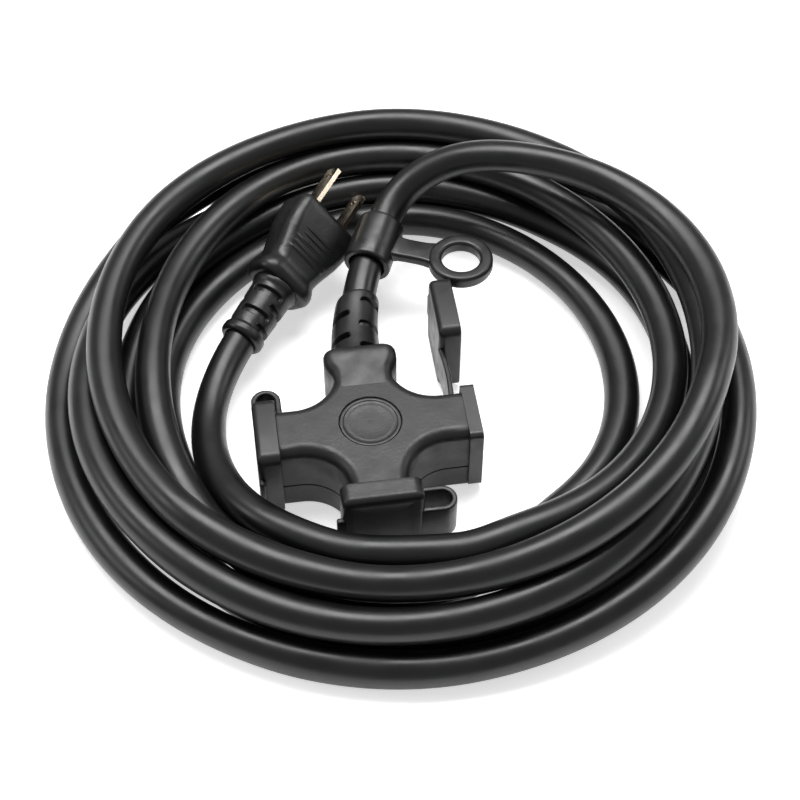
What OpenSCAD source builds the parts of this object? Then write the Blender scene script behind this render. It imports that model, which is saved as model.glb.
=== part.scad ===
// Outdoor extension cord, coiled: a cross-shaped three-outlet tap with a
// rubber cap on each outlet, a ring hanger on the lead beside the tap,
// a thick round cord in a loose coil and a moulded two-blade plug.
// Millimetres. Origin at the middle of the tap's underside, +Y towards
// the end of the tap where the cord comes in, +Z up.

/* [Tap] */
// Width of each arm
arm_w = 17; // [16:0.5:18]
// Height of the tap body
tap_h = 24.5; // [24.3:0.1:24.7]
// Height of the line where the two shells meet
split_z = 9; // [8.6:0.1:9.4]
// Wall thickness of the shells
wall = 2.2; // [2:0.1:2.4]
// From the centre to the outlet faces on the left and right
side_reach = 31.5; // [31:0.5:33]
// From the centre to the outlet face at the front
front_reach = 27.5; // [27:0.5:29]
// From the centre to the end where the cord comes in
back_reach = 28; // [27.5:0.5:28.5]
// Radius of the hollow curve between two arms
fillet_r = 13; // [12:0.5:14]
// Width of each outlet face
face_w = 20; // [19.4:0.1:20.1]

/* [Outlets] */
// Distance between the two blades
blade_pitch = 12.7; // [12.7:0.1:12.7]
// Width of a blade slot
slot_w = 7.4; // [6.8:0.1:8]
// Height of a blade slot
slot_h = 2.4; // [2.1:0.1:2.6]

/* [Caps] */
// Outside width of a cap
cap_w = 23.4; // [23.2:0.1:23.6]
// Thickness of the cap's side wall
cap_wall = 1; // [0.9:0.1:1]
// How far the cap's rim reaches over the outlet face
cap_over = 4.7; // [4:0.1:4.8]
// Thickness of the cap's flat face
cap_face_t = 1.8; // [1.6:0.1:2]
// Distance of the strap's fold from the middle of the cap
fold_out = 20.6; // [20.6:0.1:21]
// Thickness of the strap
strap_t = 1.8; // [1.6:0.1:1.8]

/* [Cord] */
// Diameter of the cord
cord_d = 10.5; // [10:0.1:10.5]
// Outside radius of the coil
coil_out = 107.5; // [104:0.5:110]
// Height of the coil
coil_h = 32; // [30:0.5:34]

/* [Strain reliefs] */
// Length of the tap's strain relief outside the tap
relief_l = 28; // [24:1:28]
// Diameter of the tap's strain relief at the tap
relief_d1 = 15.6; // [15:0.2:16]
// Diameter of the tap's strain relief at its thin end
relief_d2 = 12.4; // [12:0.2:13]

/* [Hanger] */
// Outside radius of the hanging ring
ring_out = 10.2; // [9.8:0.1:10.4]
// Inside radius of the hanging ring
ring_in = 6.1; // [5.8:0.1:6.4]
// Thickness of the hanging ring
ring_t = 4.4; // [4:0.1:4.6]
// Outside radius of the sleeve on the cord
sleeve_out = 7.6; // [7.4:0.1:7.8]
// Length of the sleeve
sleeve_l = 17; // [15:0.5:18]

/* [Plug] */
// Width of the plug body
plug_w = 25; // [24:0.5:26]
// Thickness of the plug body
plug_t = 15; // [14:0.5:15]
// Length of the plug body
plug_l = 31; // [30:1:32]
// Length of the blades in front of the plug
blade_l = 17; // [16.5:0.5:17.5]

/* [Hidden] */

mid_z = 13;
hw = arm_w / 2;
flange_z0 = 1.2;
flange_z1 = 24.9;
flange_t = 3.9;
cap_z0 = 0.2;
cap_z1 = 26.2;
strap_z0 = 5;
strap_z1 = 18;
fold_back = 2.35;
fold_r = 3.55;
relief_y0 = back_reach - 3;

// The coil lies round the tap, off centre.
coil_c = [12.4, 26.8];

// The ring hanger's sleeve on the lead: its middle and its turns.
sleeve_c = [10.9, 76.1, 19];
sleeve_turn = [-82.5, 0, -24.5];

// The plug lies inside the coil, tipped on its side.
plug_at = [-4.1, 90.1, 19];
plug_turn = [49, -8, 54];

// Route of the lead from the tap to the top of the coil.
tap_route = [
    [0, 31, 13], [0, 57, 13], [0.8, 59.5, 13.4], [3, 62.5, 15.2], [5.8, 65.6, 17.2],
    [8, 69.8, 18.1], [10.9, 76.1, 19], [13.8, 82.5, 19.9], [16, 86.4, 21],
    [20, 89.4, 24.2], [27, 91.7, 28.8], [36, 92.5, 33], [47, 92, 36.5],
    [60, 89.5, 38], [73, 84, 38.2], [85, 75, 38], [95, 63, 37.8],
    [102, 49, 37.6], [105.5, 34, 37.5], [105.5, 18, 37.4], [102, 3, 37.4],
    [96, -10, 37.4]
];

// Route of the lead from the coil to the plug.
plug_route = [
    [19, -44, 17.5], [3, -43, 18], [-12, -39.5, 17.5], [-25, -31.5, 17],
    [-36, -21, 16], [-43, -9, 13], [-47.5, 4, 9], [-49.5, 17, 6.5],
    [-48.5, 29, 6.5], [-44, 38.5, 9], [-39.4, 43.9, 10.8], [-34.9, 47.7, 11.6]
];

// Shapes used more than once.

module rrect(w, h, r) {
    square([w - 2 * r, h], center = true);
    square([w, h - 2 * r], center = true);
    for (x = [-1, 1], y = [-1, 1])
        translate([x * (w / 2 - r), y * (h / 2 - r)]) circle(r = r, $fn = 32);
}

// A plate standing across the outlet's own X axis.
module plate_x(x0, x1, w, z0, z1, r) {
    translate([x0, 0, (z0 + z1) / 2]) rotate([90, 0, 90])
        linear_extrude(x1 - x0) rrect(w, z1 - z0, r);
}

// Plan of the tap: four arms with hollow curves between them.
module tap_plan(h, r, side, front, back) {
    difference() {
        union() {
            translate([-side, -h]) square([2 * side, 2 * h]);
            translate([-h, -front]) square([2 * h, front + back]);
            translate([-(h + r), -(h + r)]) square([2 * (h + r), 2 * (h + r)]);
        }
        for (x = [-1, 1], y = [-1, 1])
            translate([x * (h + r), y * (h + r)]) circle(r = r, $fn = 96);
        for (x = [-1, 1], y = [-1, 1])
            translate([x * (h + r + 20) - 20, y * (h + r + 20) - 20]) square(40);
    }
}

module tap_outline() {
    tap_plan(hw, fillet_r, side_reach - flange_t, front_reach - flange_t, back_reach);
    translate([-10.5, back_reach - 9]) square([21, 9]);
}

module tap_cavity() {
    tap_plan(hw - wall, fillet_r + wall, side_reach - flange_t + 1,
             front_reach - flange_t + 1, back_reach - 5);
}

// Moves an outlet's own frame to its arm: +X out of the arm, +Y to the
// side where the cap's strap is.
module at_right() { children(); }
module at_left() { mirror([1, 0, 0]) children(); }
module at_front() { rotate([0, 0, -90]) children(); }

// Turns a cap about the fold of its strap.
module folded(face, a) {
    translate([face - fold_back, fold_out, 0]) rotate([0, 0, a])
        translate([-(face - fold_back), -fold_out, 0]) children();
}

module outlet(face) {
    difference() {
        union() {
            plate_x(face - flange_t, face, face_w, flange_z0, flange_z1, 1.6);
            translate([face - 12.5, -5.6, 2.9]) cube([9, 11.2, 19.1]);
        }
        for (s = [-1, 1]) {
            // slot for a blade, with a wider pocket for its contact
            translate([face - 13, -slot_w / 2, mid_z + s * blade_pitch / 2 - slot_h / 2])
                cube([14, slot_w, slot_h]);
            translate([face - 13, -4.1, mid_z + s * blade_pitch / 2 - 2.3])
                cube([10.4, 8.2, 4.6]);
        }
    }
}

module cap(face) {
    difference() {
        plate_x(face - cap_over, face + 0.3 + cap_face_t, cap_w, cap_z0, cap_z1, 2);
        plate_x(face - cap_over - 1, face + 0.3, cap_w - 2 * cap_wall,
                flange_z0 - 0.35, flange_z1 + 0.35, 1.4);
        // relief in the rim where it would meet the arm's underside
        translate([face - cap_over - 1, -hw - 1.2, -1]) cube([cap_over - 2.5, arm_w + 2.4, 3]);
    }
    // pull tab at the far edge
    translate([face + 0.3 + cap_face_t - 1.4, -cap_w / 2 - 1.4, mid_z - 4])
        cube([1.4, 2.2, 8]);
}

// A strap half in plan: a straight leg and part of the fold, from angle
// a0 to a1 about the middle of the fold's curve.
function arc_pts(c, r, a0, a1, n) =
    [for (i = [0:n]) c + r * [cos(a0 + (a1 - a0) * i / n), sin(a0 + (a1 - a0) * i / n)]];

module strap_half(c, leg_y, a0, a1) {
    g = strap_t / 2;
    s = a0 == 180 ? -1 : 1;
    translate([0, 0, strap_z0]) linear_extrude(strap_z1 - strap_z0)
        polygon(concat([[c[0] + s * (fold_r + g), leg_y]],
                       arc_pts(c, fold_r + g, a0, a1, 9),
                       arc_pts(c, fold_r - g, a1, a0, 9),
                       [[c[0] + s * (fold_r - g), leg_y]]));
}

module strap_root(face) { strap_half([face - fold_back, fold_out - fold_r], hw, 180, 132); }

module strap_end(face) { strap_half([face - fold_back, fold_out - fold_r], cap_w / 2, 0, 60); }

// One folded contact for a blade, open towards +X.
module contact(face, z) {
    for (s = [-1, 1])
        translate([face - 12, -3.4, z + s * 1.25 - 0.35]) cube([8, 6.8, 0.7]);
    translate([face - 12.7, -3.4, z - 1.6]) cube([0.7, 6.8, 3.2]);
}

module contacts(z) {
    at_right() contact(side_reach, z);
    at_left() contact(side_reach, z);
    at_front() contact(front_reach, z);
}

// Cross-shaped bar that joins the three contacts and the wire.
module bus_bar(z) {
    translate([0, 0, z]) linear_extrude(1) {
        translate([-(side_reach - 12.7), -3]) square([2 * (side_reach - 12.7), 6]);
        translate([-3, -(front_reach - 12.7)]) square([6, front_reach - 12.7 + 9]);
    }
}

// A round rod from one point to another.
module rod(a, b, r) {
    v = b - a;
    l = norm(v);
    translate(a) rotate([0, acos(v[2] / l), atan2(v[1], v[0])]) cylinder(r = r, h = l, $fn = 32);
}

// Flexible strain relief along +X from 0, with cuts on alternate sides.
module relief(l, d1, d2, bore, rows, pitch, first) {
    difference() {
        rotate([0, 90, 0]) rotate_extrude($fn = 64)
            polygon([[bore / 2, 0], [d1 / 2, 0], [d1 / 2, 3], [d2 / 2 + 0.2, l - 1.5],
                     [d2 / 2 - 0.8, l], [bore / 2, l]]);
        for (i = [0:rows - 1]) {
            x = first + i * pitch;
            r = d1 / 2 + (d2 - d1) / 2 * (x - 3) / (l - 3);
            for (s = [0, 180]) rotate([s + (i % 2) * 90 + 45, 0, 0])
                translate([x - 0.8, -8, r - 0.9]) cube([1.6, 16, 4]);
        }
    }
}

// Sweeps a round section along a list of points.
function unit(v) = v / norm(v);
function tangent(p, i) = unit(p[min(i + 1, len(p) - 1)] - p[max(i - 1, 0)]);
function bez(a, b, c, d, t) =
    0.5 * (2 * b + (c - a) * t + (2 * a - 5 * b + 4 * c - d) * t * t
           + (3 * b - a - 3 * c + d) * t * t * t);
function smooth_route(p, n) = [
    for (i = [0:len(p) - 2]) for (k = [0:n - 1])
        bez(p[max(i - 1, 0)], p[i], p[i + 1], p[min(i + 2, len(p) - 1)], k / n),
    p[len(p) - 1]
];

module tube(p, r, sides) {
    n = len(p);
    pts = [for (i = [0:n - 1])
        let (t = tangent(p, i), u = unit(cross(t, [0, 0, 1])), v = cross(u, t))
        for (k = [0:sides - 1]) p[i] + r * (cos(360 * k / sides) * u + sin(360 * k / sides) * v)];
    faces = concat(
        [for (i = [0:n - 2], k = [0:sides - 1])
            let (k2 = (k + 1) % sides)
            [i * sides + k, i * sides + k2, (i + 1) * sides + k2, (i + 1) * sides + k]],
        [[for (k = [sides - 1:-1:0]) k]],
        [[for (k = [0:sides - 1]) (n - 1) * sides + k]]
    );
    polyhedron(points = pts, faces = faces, convexity = 10);
}

// Tap

module tap_upper_shell() {
    color([0.05, 0.05, 0.055]) difference() {
        translate([0, 0, split_z]) linear_extrude(tap_h - split_z) tap_outline();
        translate([0, 0, split_z - 1]) linear_extrude(tap_h - wall - split_z + 1) tap_cavity();
        // seat of the centre disc
        translate([0, 0, tap_h - 1.2]) cylinder(r = 9, h = 3, $fn = 64);
        // seat of the strain relief
        translate([0, relief_y0 - 3, mid_z]) rotate([-90, 0, 0]) cylinder(d = 13, h = 10, $fn = 64);
    }
}

module tap_lower_shell() {
    color([0.045, 0.045, 0.05]) difference() {
        linear_extrude(split_z) tap_outline();
        translate([0, 0, wall]) linear_extrude(split_z) tap_cavity();
        translate([0, relief_y0 - 3, mid_z]) rotate([-90, 0, 0]) cylinder(d = 13, h = 10, $fn = 64);
    }
}

module tap_centre_disc() {
    color([0.06, 0.06, 0.065]) translate([0, 0, tap_h - 1.2]) difference() {
        cylinder(r = 8.9, h = 1.2, $fn = 64);
        translate([0, 0, 0.8]) cylinder(r = 7.9, h = 1, $fn = 64);
    }
}

module outlet_right() { color([0.08, 0.08, 0.08]) at_right() outlet(side_reach); }
module outlet_left() { color([0.08, 0.08, 0.08]) at_left() outlet(side_reach); }
module outlet_front() { color([0.08, 0.08, 0.08]) at_front() outlet(front_reach); }

// Insulating block that keeps the two bars apart.
module contact_carrier() {
    color([0.85, 0.84, 0.78]) translate([0, 0, 8.6]) linear_extrude(8.8) {
        translate([-18, -5.5]) square([36, 11]);
        translate([-5.5, -14]) square([11, 26]);
    }
}

module upper_bus_bar() { color([0.8, 0.62, 0.25]) bus_bar(mid_z + blade_pitch / 2 - 0.5); }
module lower_bus_bar() { color([0.8, 0.62, 0.25]) bus_bar(mid_z - blade_pitch / 2 - 0.5); }
module upper_contacts() { color([0.82, 0.64, 0.28]) contacts(mid_z + blade_pitch / 2); }
module lower_contacts() { color([0.82, 0.64, 0.28]) contacts(mid_z - blade_pitch / 2); }

module tap_crimps() {
    color([0.75, 0.74, 0.7]) for (s = [-1, 1])
        translate([0, 9, mid_z + s * blade_pitch / 2]) rotate([-90, 0, 0])
            cylinder(r = 1.8, h = 5, $fn = 32);
}

module tap_wire_line() {
    color([0.1, 0.1, 0.1]) rod([0, 14.6, mid_z + blade_pitch / 2], [0, 30.6, mid_z + 2.4], 1.4);
}

module tap_wire_neutral() {
    color([0.9, 0.9, 0.88]) rod([0, 14.6, mid_z - blade_pitch / 2], [0, 30.6, mid_z - 2.4], 1.4);
}

module tap_strain_relief() {
    color([0.05, 0.05, 0.055]) {
        translate([0, back_reach, mid_z]) rotate([0, 0, 90])
            relief(relief_l, relief_d1, relief_d2, cord_d + 0.1, 5, 4.5, 5.5);
        // neck and flange held between the shells
        translate([0, relief_y0, mid_z]) rotate([-90, 0, 0]) difference() {
            cylinder(d = 13, h = 3, $fn = 64);
            translate([0, 0, -1]) cylinder(d = cord_d + 0.1, h = 5, $fn = 64);
        }
    }
}

// Caps and their straps

module cap_right() { color([0.05, 0.05, 0.055]) at_right() folded(side_reach, 180) cap(side_reach); }
module cap_left() { color([0.05, 0.05, 0.055]) at_left() cap(side_reach); }
module cap_front() { color([0.05, 0.05, 0.055]) at_front() cap(front_reach); }
module strap_root_right() { color([0.07, 0.07, 0.075]) at_right() strap_root(side_reach); }
module strap_root_left() { color([0.07, 0.07, 0.075]) at_left() strap_root(side_reach); }
module strap_root_front() { color([0.07, 0.07, 0.075]) at_front() strap_root(front_reach); }
module strap_end_right() {
    color([0.09, 0.09, 0.095]) at_right() folded(side_reach, 180) strap_end(side_reach);
}
module strap_end_left() { color([0.09, 0.09, 0.095]) at_left() strap_end(side_reach); }
module strap_end_front() { color([0.09, 0.09, 0.095]) at_front() strap_end(front_reach); }

// Ring hanger

module hanger_sleeve() {
    color([0.05, 0.05, 0.055]) translate(sleeve_c) rotate(sleeve_turn) difference() {
        cylinder(r = sleeve_out, h = sleeve_l, center = true, $fn = 64);
        cylinder(r = cord_d / 2 + 0.6, h = sleeve_l + 2, center = true, $fn = 64);
    }
}

ring_c = [37, 64.2, 20];

module hanger_strap() {
    color([0.05, 0.05, 0.055]) difference() {
        translate([ring_c[0], ring_c[1], ring_c[2]]) rotate([0, 0, 155.5])
            translate([ring_out - 0.6, -4.1, -1.7]) cube([12, 8.2, 3.4]);
        translate(sleeve_c) rotate(sleeve_turn)
            cylinder(r = sleeve_out, h = sleeve_l + 30, center = true, $fn = 64);
        translate(ring_c) cylinder(r = ring_out, h = ring_t + 2, center = true, $fn = 64);
    }
}

module hanger_ring() {
    color([0.05, 0.05, 0.055]) translate(ring_c) difference() {
        cylinder(r = ring_out, h = ring_t, center = true, $fn = 64);
        cylinder(r = ring_in, h = ring_t + 2, center = true, $fn = 64);
    }
}

// Plug, along its own +X from the cord to the blades

module at_plug() { translate(plug_at) rotate(plug_turn) children(); }

module plug_body() {
    color([0.05, 0.05, 0.055]) at_plug() difference() {
        translate([0, 0, -plug_t / 2]) linear_extrude(plug_t)
            polygon([[0, -plug_w / 2 + 2], [-2, -plug_w / 2], [-9, -plug_w / 2],
                     [-19, -plug_w / 2 + 2], [-plug_l, -8.2], [-plug_l, 8.2],
                     [-19, plug_w / 2 - 2], [-9, plug_w / 2], [-2, plug_w / 2],
                     [0, plug_w / 2 - 2]]);
        translate([-13, -10, -4.5]) cube([14, 20, 9]);
        translate([-26, -8.4, -3.5]) cube([14, 16.8, 7]);
        translate([-plug_l - 1, 0, 0]) rotate([0, 90, 0]) cylinder(d = 10.9, h = 6.6, $fn = 64);
    }
}

module plug_bridge() {
    color([0.16, 0.16, 0.17]) at_plug() difference() {
        translate([-13, -10, -4.5]) cube([12.8, 20, 9]);
        for (s = [-1, 1]) translate([-14, s * blade_pitch / 2 - 0.75, -3.2]) cube([16, 1.5, 6.4]);
    }
}

module blade(s) {
    at_plug() difference() {
        translate([-17, s * blade_pitch / 2 - 0.75, -3.2]) cube([17 + blade_l, 1.5, 6.4]);
        translate([blade_l - 3.6, s * blade_pitch / 2, 0]) rotate([90, 0, 0])
            cylinder(r = 1.5, h = 4, center = true, $fn = 48);
        for (m = [-1, 1]) translate([blade_l - 1.6, s * blade_pitch / 2 - 1, m * 2.2 - 1.2 + m * 1.2])
            rotate([0, m * 30, 0]) translate([0, 0, -1.2 + m * 1.2]) cube([4, 2, 2.4]);
    }
}

module line_blade() { color([0.78, 0.68, 0.5]) blade(1); }
module neutral_blade() { color([0.78, 0.68, 0.5]) blade(-1); }

module plug_crimps() {
    color([0.75, 0.74, 0.7]) at_plug() for (s = [-1, 1])
        translate([-20.9, s * blade_pitch / 2, 0]) rotate([0, 90, 0])
            cylinder(r = 1.6, h = 3.8, $fn = 32);
}

module plug_wire_line() {
    color([0.1, 0.1, 0.1]) at_plug() rod([-22, blade_pitch / 2, 0], [-27.5, 2.6, 0], 1.4);
}

module plug_wire_neutral() {
    color([0.9, 0.9, 0.88]) at_plug() rod([-22, -blade_pitch / 2, 0], [-27.5, -2.6, 0], 1.4);
}

module plug_strain_relief() {
    color([0.05, 0.05, 0.055]) at_plug() translate([-plug_l, 0, 0]) rotate([0, 0, 180]) {
        relief(22, 14.4, 12.4, cord_d + 0.1, 4, 4.2, 5);
    }
}

// Cord

module tap_lead() {
    color([0.04, 0.04, 0.045]) tube(smooth_route(tap_route, 2), cord_d / 2, 10);
}

module plug_lead() {
    color([0.04, 0.04, 0.045]) tube(smooth_route(plug_route, 2), cord_d / 2, 10);
}

// Everything that is coiled, as one closed ring.
module cord_coil() {
    color([0.03, 0.03, 0.035]) translate([coil_c[0], coil_c[1], 0])
        rotate_extrude($fn = 128)
            polygon([[69, 0], [coil_out, 0], [coil_out, 26], [coil_out - 6, coil_h],
                     [coil_out - 15, coil_h - 2.5], [80, 13], [69, 9]]);
}

tap_upper_shell();
tap_lower_shell();
tap_centre_disc();
outlet_right();
outlet_left();
outlet_front();
contact_carrier();
upper_bus_bar();
lower_bus_bar();
upper_contacts();
lower_contacts();
tap_wire_line();
tap_wire_neutral();
tap_crimps();
tap_strain_relief();
cap_right();
cap_left();
cap_front();
strap_root_right();
strap_root_left();
strap_root_front();
strap_end_right();
strap_end_left();
strap_end_front();
hanger_sleeve();
hanger_strap();
hanger_ring();
plug_body();
plug_bridge();
line_blade();
neutral_blade();
plug_wire_line();
plug_wire_neutral();
plug_crimps();
plug_strain_relief();
tap_lead();
cord_coil();
plug_lead();
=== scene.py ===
import math
import bpy, bmesh
import numpy as np
from mathutils import Vector, Matrix


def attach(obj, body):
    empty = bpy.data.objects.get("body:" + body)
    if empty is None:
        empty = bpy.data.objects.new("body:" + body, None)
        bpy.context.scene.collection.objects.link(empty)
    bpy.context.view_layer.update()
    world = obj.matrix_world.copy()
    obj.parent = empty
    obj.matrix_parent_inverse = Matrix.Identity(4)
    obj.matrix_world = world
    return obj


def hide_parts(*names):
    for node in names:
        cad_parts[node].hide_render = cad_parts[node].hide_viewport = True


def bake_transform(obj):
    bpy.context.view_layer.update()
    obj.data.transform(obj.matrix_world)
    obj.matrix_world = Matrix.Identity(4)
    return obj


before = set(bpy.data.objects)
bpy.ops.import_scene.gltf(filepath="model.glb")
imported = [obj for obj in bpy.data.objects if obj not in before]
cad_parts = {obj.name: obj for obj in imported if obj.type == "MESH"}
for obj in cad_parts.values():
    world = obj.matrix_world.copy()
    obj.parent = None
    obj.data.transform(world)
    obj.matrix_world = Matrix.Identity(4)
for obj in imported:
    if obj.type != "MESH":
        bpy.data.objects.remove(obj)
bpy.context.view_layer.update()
MM = 0.001

# ---------------------------------------------------------------- camera
scene = bpy.context.scene
cam_data = bpy.data.cameras.new("camera")
cam = bpy.data.objects.new("camera", cam_data)
scene.collection.objects.link(cam)
cam_data.lens = 74.5
cam_data.sensor_width = 36
cam.location = (-0.03355, -0.29975, 0.3930)
cam.rotation_mode = "QUATERNION"
cam.rotation_quaternion = (Vector((0.01236, 0.02684, 0.0)) - cam.location).to_track_quat("-Z", "Y")
cam_data.clip_start, cam_data.clip_end = 0.01, 20
scene.camera = cam


# ---------------------------------------------------------------- materials
def material(name, base, rough, noise=None, bump=None, edge_highlight=None, metal=0.0, spec=0.5,
             rough_var=0.08, coat=0.0, fine=None, scratch=None):
    m = bpy.data.materials.new(name)
    m.use_nodes = True
    nt = m.node_tree
    b = nt.nodes["Principled BSDF"]
    b.inputs["Base Color"].default_value = (*base, 1)
    b.inputs["Metallic"].default_value = metal
    b.inputs["Specular IOR Level"].default_value = spec
    b.inputs["Coat Weight"].default_value = coat
    tc = nt.nodes.new("ShaderNodeTexCoord")
    scale, amount = noise or (60, 0.25)
    n1 = nt.nodes.new("ShaderNodeTexNoise")
    n1.inputs["Scale"].default_value = scale
    n1.inputs["Detail"].default_value = 6
    nt.links.new(tc.outputs["Object"], n1.inputs["Vector"])
    ramp = nt.nodes.new("ShaderNodeValToRGB")
    ramp.color_ramp.elements[0].position = 0.32
    ramp.color_ramp.elements[1].position = 0.7
    ramp.color_ramp.elements[0].color = (*[c * (1 - amount) for c in base], 1)
    ramp.color_ramp.elements[1].color = (*[min(1, c * (1 + amount)) for c in base], 1)
    nt.links.new(n1.outputs["Fac"], ramp.inputs["Fac"])
    colour = ramp.outputs["Color"]
    if edge_highlight:
        # painted highlight: paler rubber along the convex edges, standing in for the light the rounded edges catch
        geo = nt.nodes.new("ShaderNodeNewGeometry")
        edge_light_ramp = nt.nodes.new("ShaderNodeValToRGB")
        edge_light_ramp.color_ramp.elements[0].position = 0.52
        edge_light_ramp.color_ramp.elements[1].position = 0.62
        edge_light_ramp.color_ramp.elements[0].color = (0, 0, 0, 1)
        edge_light_ramp.color_ramp.elements[1].color = (edge_highlight, edge_highlight, edge_highlight, 1)
        nt.links.new(geo.outputs["Pointiness"], edge_light_ramp.inputs["Fac"])
        mix = nt.nodes.new("ShaderNodeMix")
        mix.data_type = "RGBA"
        mix.inputs[7].default_value = (*[min(1, c * 2.2 + 0.01) for c in base], 1)
        nt.links.new(edge_light_ramp.outputs["Color"], mix.inputs[0])
        nt.links.new(colour, mix.inputs[6])
        colour = mix.outputs[2]
    nt.links.new(colour, b.inputs["Base Color"])
    n2 = nt.nodes.new("ShaderNodeTexNoise")
    n2.inputs["Scale"].default_value = scale * 4.3
    n2.inputs["Detail"].default_value = 4
    nt.links.new(tc.outputs["Object"], n2.inputs["Vector"])
    mr = nt.nodes.new("ShaderNodeMapRange")
    mr.inputs["From Min"].default_value = 0.3
    mr.inputs["From Max"].default_value = 0.7
    mr.inputs["To Min"].default_value = max(0.03, rough - rough_var)
    mr.inputs["To Max"].default_value = min(1, rough + rough_var)
    nt.links.new(n2.outputs["Fac"], mr.inputs["Value"])
    nt.links.new(mr.outputs["Result"], b.inputs["Roughness"])
    normal = None
    for sc, strength, dist in [x for x in (bump, fine) if x]:
        n3 = nt.nodes.new("ShaderNodeTexNoise")
        n3.inputs["Scale"].default_value = sc
        n3.inputs["Detail"].default_value = 3
        nt.links.new(tc.outputs["Object"], n3.inputs["Vector"])
        bp = nt.nodes.new("ShaderNodeBump")
        bp.inputs["Strength"].default_value = strength
        bp.inputs["Distance"].default_value = dist
        nt.links.new(n3.outputs["Fac"], bp.inputs["Height"])
        if normal:
            nt.links.new(normal, bp.inputs["Normal"])
        normal = bp.outputs["Normal"]
    if scratch:
        w = nt.nodes.new("ShaderNodeTexWave")
        w.inputs["Scale"].default_value = scratch
        w.inputs["Distortion"].default_value = 3
        w.inputs["Detail"].default_value = 3
        nt.links.new(tc.outputs["Object"], w.inputs["Vector"])
        bp = nt.nodes.new("ShaderNodeBump")
        bp.inputs["Strength"].default_value = 0.08
        bp.inputs["Distance"].default_value = 0.00005
        nt.links.new(w.outputs["Fac"], bp.inputs["Height"])
        if normal:
            nt.links.new(normal, bp.inputs["Normal"])
        normal = bp.outputs["Normal"]
    if normal:
        nt.links.new(normal, b.inputs["Normal"])
    return m


# the number after each bump tuple below is the strength of the painted edge highlight on convex edges
M_TAP = material("tap_rubber", (0.0072, 0.0076, 0.0073), 0.43, (45, 0.18), (900, 0.22, 0.0002), 0.35,
                 fine=(3800, 0.16, 0.00008))
M_CAP = material("cap_rubber", (0.0075, 0.0079, 0.0076), 0.41, (55, 0.2), (1100, 0.2, 0.00018), 0.35,
                 fine=(4200, 0.14, 0.00008))
M_STRAP = material("strap_rubber", (0.0070, 0.0074, 0.0072), 0.38, (70, 0.2), (1400, 0.16, 0.00015), 0.3)
M_DISC = material("disc_rubber", (0.0090, 0.0094, 0.0091), 0.40, (90, 0.2), (1500, 0.22, 0.00015), 0.3)
M_RELIEF = material("relief_rubber", (0.0056, 0.0059, 0.0058), 0.36, (60, 0.22), (1200, 0.16, 0.00015), 0.4)
M_HANGER = material("hanger_rubber", (0.0062, 0.0065, 0.0064), 0.35, (60, 0.2), (1300, 0.16, 0.00014), 0.35)
M_PLUG = material("plug_rubber", (0.0056, 0.0059, 0.0058), 0.35, (55, 0.22), (1000, 0.2, 0.00016), 0.4)
M_OUTLET = material("outlet_resin", (0.015, 0.015, 0.0155), 0.38, (120, 0.18), (1600, 0.1, 0.0001), 0.3)
M_BRIDGE = material("bridge_resin", (0.016, 0.016, 0.017), 0.36, (120, 0.2), (1600, 0.1, 0.0001))
M_CARRIER = material("carrier_resin", (0.72, 0.69, 0.58), 0.45, (80, 0.1), (900, 0.1, 0.0001))
M_BRASS = material("contact_brass", (0.78, 0.56, 0.24), 0.26, (120, 0.15), (1500, 0.05, 0.00005), metal=1.0, scratch=220)
M_BLADE = material("blade_metal", (0.77, 0.66, 0.52), 0.20, (160, 0.14), (1800, 0.05, 0.00005), metal=1.0, scratch=260)
M_TIN = material("crimp_tin", (0.62, 0.61, 0.58), 0.3, (120, 0.12), (1500, 0.05, 0.00005), metal=1.0)
M_WBLACK = material("wire_black", (0.02, 0.02, 0.021), 0.35, (150, 0.2), (1500, 0.08, 0.0001))
M_WWHITE = material("wire_white", (0.78, 0.77, 0.72), 0.4, (150, 0.08), (1500, 0.08, 0.0001))
M_CORD = material("cord_sheath", (0.0040, 0.0042, 0.0041), 0.35, (28, 0.22), (420, 0.10, 0.00012), 0.0,
                  rough_var=0.06, fine=(2600, 0.06, 0.00005))

CAD_MATS = {
    "tap_upper_shell": M_TAP, "tap_lower_shell": M_TAP, "tap_centre_disc": M_DISC,
    "outlet_right": M_OUTLET, "outlet_left": M_OUTLET, "outlet_front": M_OUTLET,
    "contact_carrier": M_CARRIER, "upper_bus_bar": M_BRASS, "lower_bus_bar": M_BRASS,
    "upper_contacts": M_BRASS, "lower_contacts": M_BRASS, "tap_wire_line": M_WBLACK,
    "tap_wire_neutral": M_WWHITE, "tap_crimps": M_TIN, "plug_bridge": M_BRIDGE,
    "line_blade": M_BLADE, "neutral_blade": M_BLADE, "plug_wire_line": M_WBLACK,
    "plug_wire_neutral": M_WWHITE, "plug_crimps": M_TIN,
}
for node_name, mat in CAD_MATS.items():
    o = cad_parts[node_name]
    if not o.material_slots:
        o.data.materials.append(mat)
    for s in o.material_slots:
        s.material = mat


# ---------------------------------------------------------------- mesh tools
def make(name, verts, faces, mat, body="root", sharp=38, weld=1e-7):
    """Mesh from points in mm."""
    me = bpy.data.meshes.new(name)
    me.from_pydata([tuple(float(c) * MM for c in v) for v in verts], [], faces)
    bm = bmesh.new()
    bm.from_mesh(me)
    bmesh.ops.remove_doubles(bm, verts=bm.verts, dist=weld)
    bmesh.ops.recalc_face_normals(bm, faces=bm.faces)
    bm.to_mesh(me)
    bm.free()
    o = bpy.data.objects.new(name, me)
    scene.collection.objects.link(o)
    me.materials.append(mat)
    for p in me.polygons:
        p.use_smooth = True
    if sharp:
        me.set_sharp_from_angle(angle=math.radians(sharp))
    if body:
        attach(o, body)
    return o


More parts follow.
